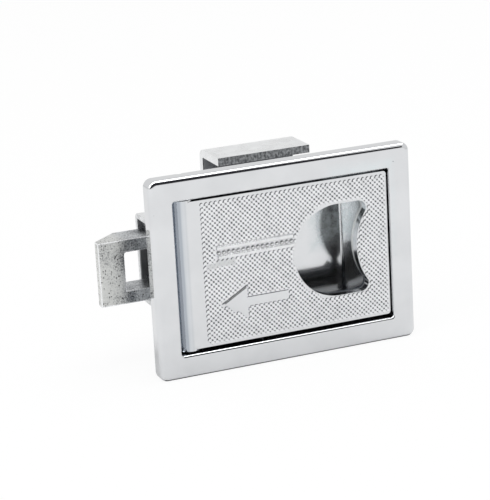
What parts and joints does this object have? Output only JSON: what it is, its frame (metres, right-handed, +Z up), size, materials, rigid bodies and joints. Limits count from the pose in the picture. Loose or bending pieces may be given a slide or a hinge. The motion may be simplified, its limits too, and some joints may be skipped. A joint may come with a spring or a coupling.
{
  "type": "concealed cabinet lock",
  "caption": "Flush chrome cabinet lock with a knurled pull paddle, a finger hole, a sprung slam bolt and a rear strap that clamps it in a panel cut-out.",
  "frame": {"origin": "centre of the panel cut-out, on the face of the bezel that seats on the panel", "axes": "+X to the right seen from outside, away from the bolt; +Y into the cabinet; +Z up"},
  "size_m": [0.1021, 0.0379, 0.066],
  "materials": {
    "chrome_casting": "polished chrome on a zinc casting",
    "chrome_paddle": "chrome with a fine diamond knurl",
    "zinc_bolt": "blotchy zinc plate on a casting",
    "galvanised_sheet": "galvanised sheet with sheared edges",
    "bright_screw": "bright zinc-plated steel",
    "pin_steel": "ground steel",
    "spring_wire": "drawn spring wire"
  },
  "bodies": {
    "body": {"housing": "chrome_casting", "paddle_pin": "pin_steel", "paddle_spring": "spring_wire", "bolt_spring": "spring_wire", "bolt_guide": "galvanised_sheet", "guide_screws": "bright_screw", "guide_washers": "bright_screw", "spring_cover": "galvanised_sheet", "cover_screws": "bright_screw"},
    "pull": {"paddle": "chrome_paddle"},
    "bolt": {"latch_bolt": "zinc_bolt"},
    "strap": {"clamp_strap": "galvanised_sheet", "clamp_washers": "bright_screw", "clamp_lock_washers": "spring_wire"},
    "screw_top": {"clamp_screw_top": "bright_screw"},
    "screw_bottom": {"clamp_screw_bottom": "bright_screw"}
  },
  "joints": [
    {"name": "paddle_pull", "type": "hinge", "parent": "body", "child": "pull", "pos_m": [-0.03285, 0.0007, 0], "axis": [0, 0, -1], "range_deg": [0, 35], "stiffness_Nm_per_rad": 0.03, "springref_deg": -20.05, "deforming": ["paddle_spring"]},
    {"name": "bolt_slide", "type": "slide", "parent": "body", "child": "bolt", "axis": [1, 0, 0], "range_m": [0, 0.01067], "stiffness_N_per_m": 250, "springref_m": -0.012, "deforming": ["bolt_spring"]},
    {"name": "strap_slide", "type": "slide", "parent": "body", "child": "strap", "axis": [0, -1, 0], "range_m": [0, 0.009]},
    {"name": "clamp_turn_top", "type": "hinge", "parent": "strap", "child": "screw_top", "pos_m": [0.0009, 0.0299, 0.0225], "axis": [0, -1, 0], "range_deg": [0, 4629]},
    {"name": "clamp_turn_bottom", "type": "hinge", "parent": "strap", "child": "screw_bottom", "pos_m": [0.0009, 0.0299, -0.0225], "axis": [0, -1, 0], "range_deg": [0, 4629]}
  ],
  "couplings": [
    {"joint": "bolt_slide", "follows": "paddle_pull", "m_per_rad": 0.01746},
    {"joint": "clamp_turn_top", "follows": "strap_slide", "rad_per_m": 8976},
    {"joint": "clamp_turn_bottom", "follows": "strap_slide", "rad_per_m": 8976}
  ]
}
